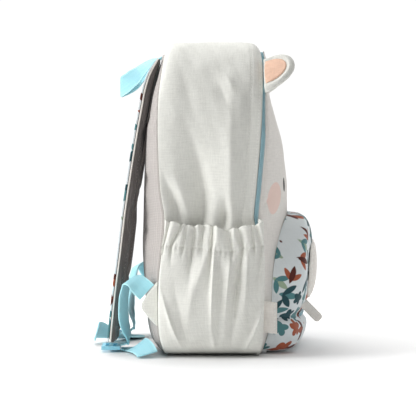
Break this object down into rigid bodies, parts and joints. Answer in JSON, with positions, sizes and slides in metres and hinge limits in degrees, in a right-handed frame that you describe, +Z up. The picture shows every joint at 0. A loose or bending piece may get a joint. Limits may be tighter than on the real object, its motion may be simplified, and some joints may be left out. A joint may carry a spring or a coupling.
{
  "type": "kids backpack",
  "caption": "Small child's canvas backpack with soft ears, zipped main bag, gathered side pockets, front pouch, padded shoulder straps and a hang loop, standing on its base",
  "frame": {"origin": "middle of the base panel, on the surface that the bag stands on", "axes": "+Z up, front of the bag faces -Y, back panel faces +Y, wearer's left is -X"},
  "size_m": [0.2704, 0.2317, 0.304],
  "materials": {
    "canvas": "woven canvas",
    "back_cloth": "ribbed padded cloth",
    "print": "printed cloth",
    "cream": "plain cloth",
    "peach": "soft napped cloth",
    "strap_grey": "padded mesh",
    "webbing_blue": "woven webbing",
    "zip_teal": "zip tape and coil",
    "slider_blue": "moulded"
  },
  "bodies": {
    "root": {"side_band": "canvas", "base_panel": "canvas", "front_panel": "canvas", "back_panel": "back_cloth", "main_zip": "zip_teal", "zip_slider": "zip_teal", "front_pocket": "print", "pocket_patch": "cream", "pocket_zip": "zip_teal", "pocket_pull": "cream", "side_label": "cream", "handle": "webbing_blue", "ear_left": "canvas", "ear_lining_left": "peach", "side_pocket_left": "canvas", "strap_pad_left": "strap_grey", "strap_facing_left": "print", "strap_slider_left": "slider_blue", "strap_tab_left": "canvas", "webbing_left": "webbing_blue", "webbing_tail_left": "webbing_blue", "ear_right": "canvas", "ear_lining_right": "peach", "side_pocket_right": "canvas", "strap_pad_right": "strap_grey", "strap_facing_right": "print", "strap_slider_right": "slider_blue", "strap_tab_right": "canvas", "webbing_right": "webbing_blue", "webbing_tail_right": "webbing_blue"}
  },
  "joints": []
}
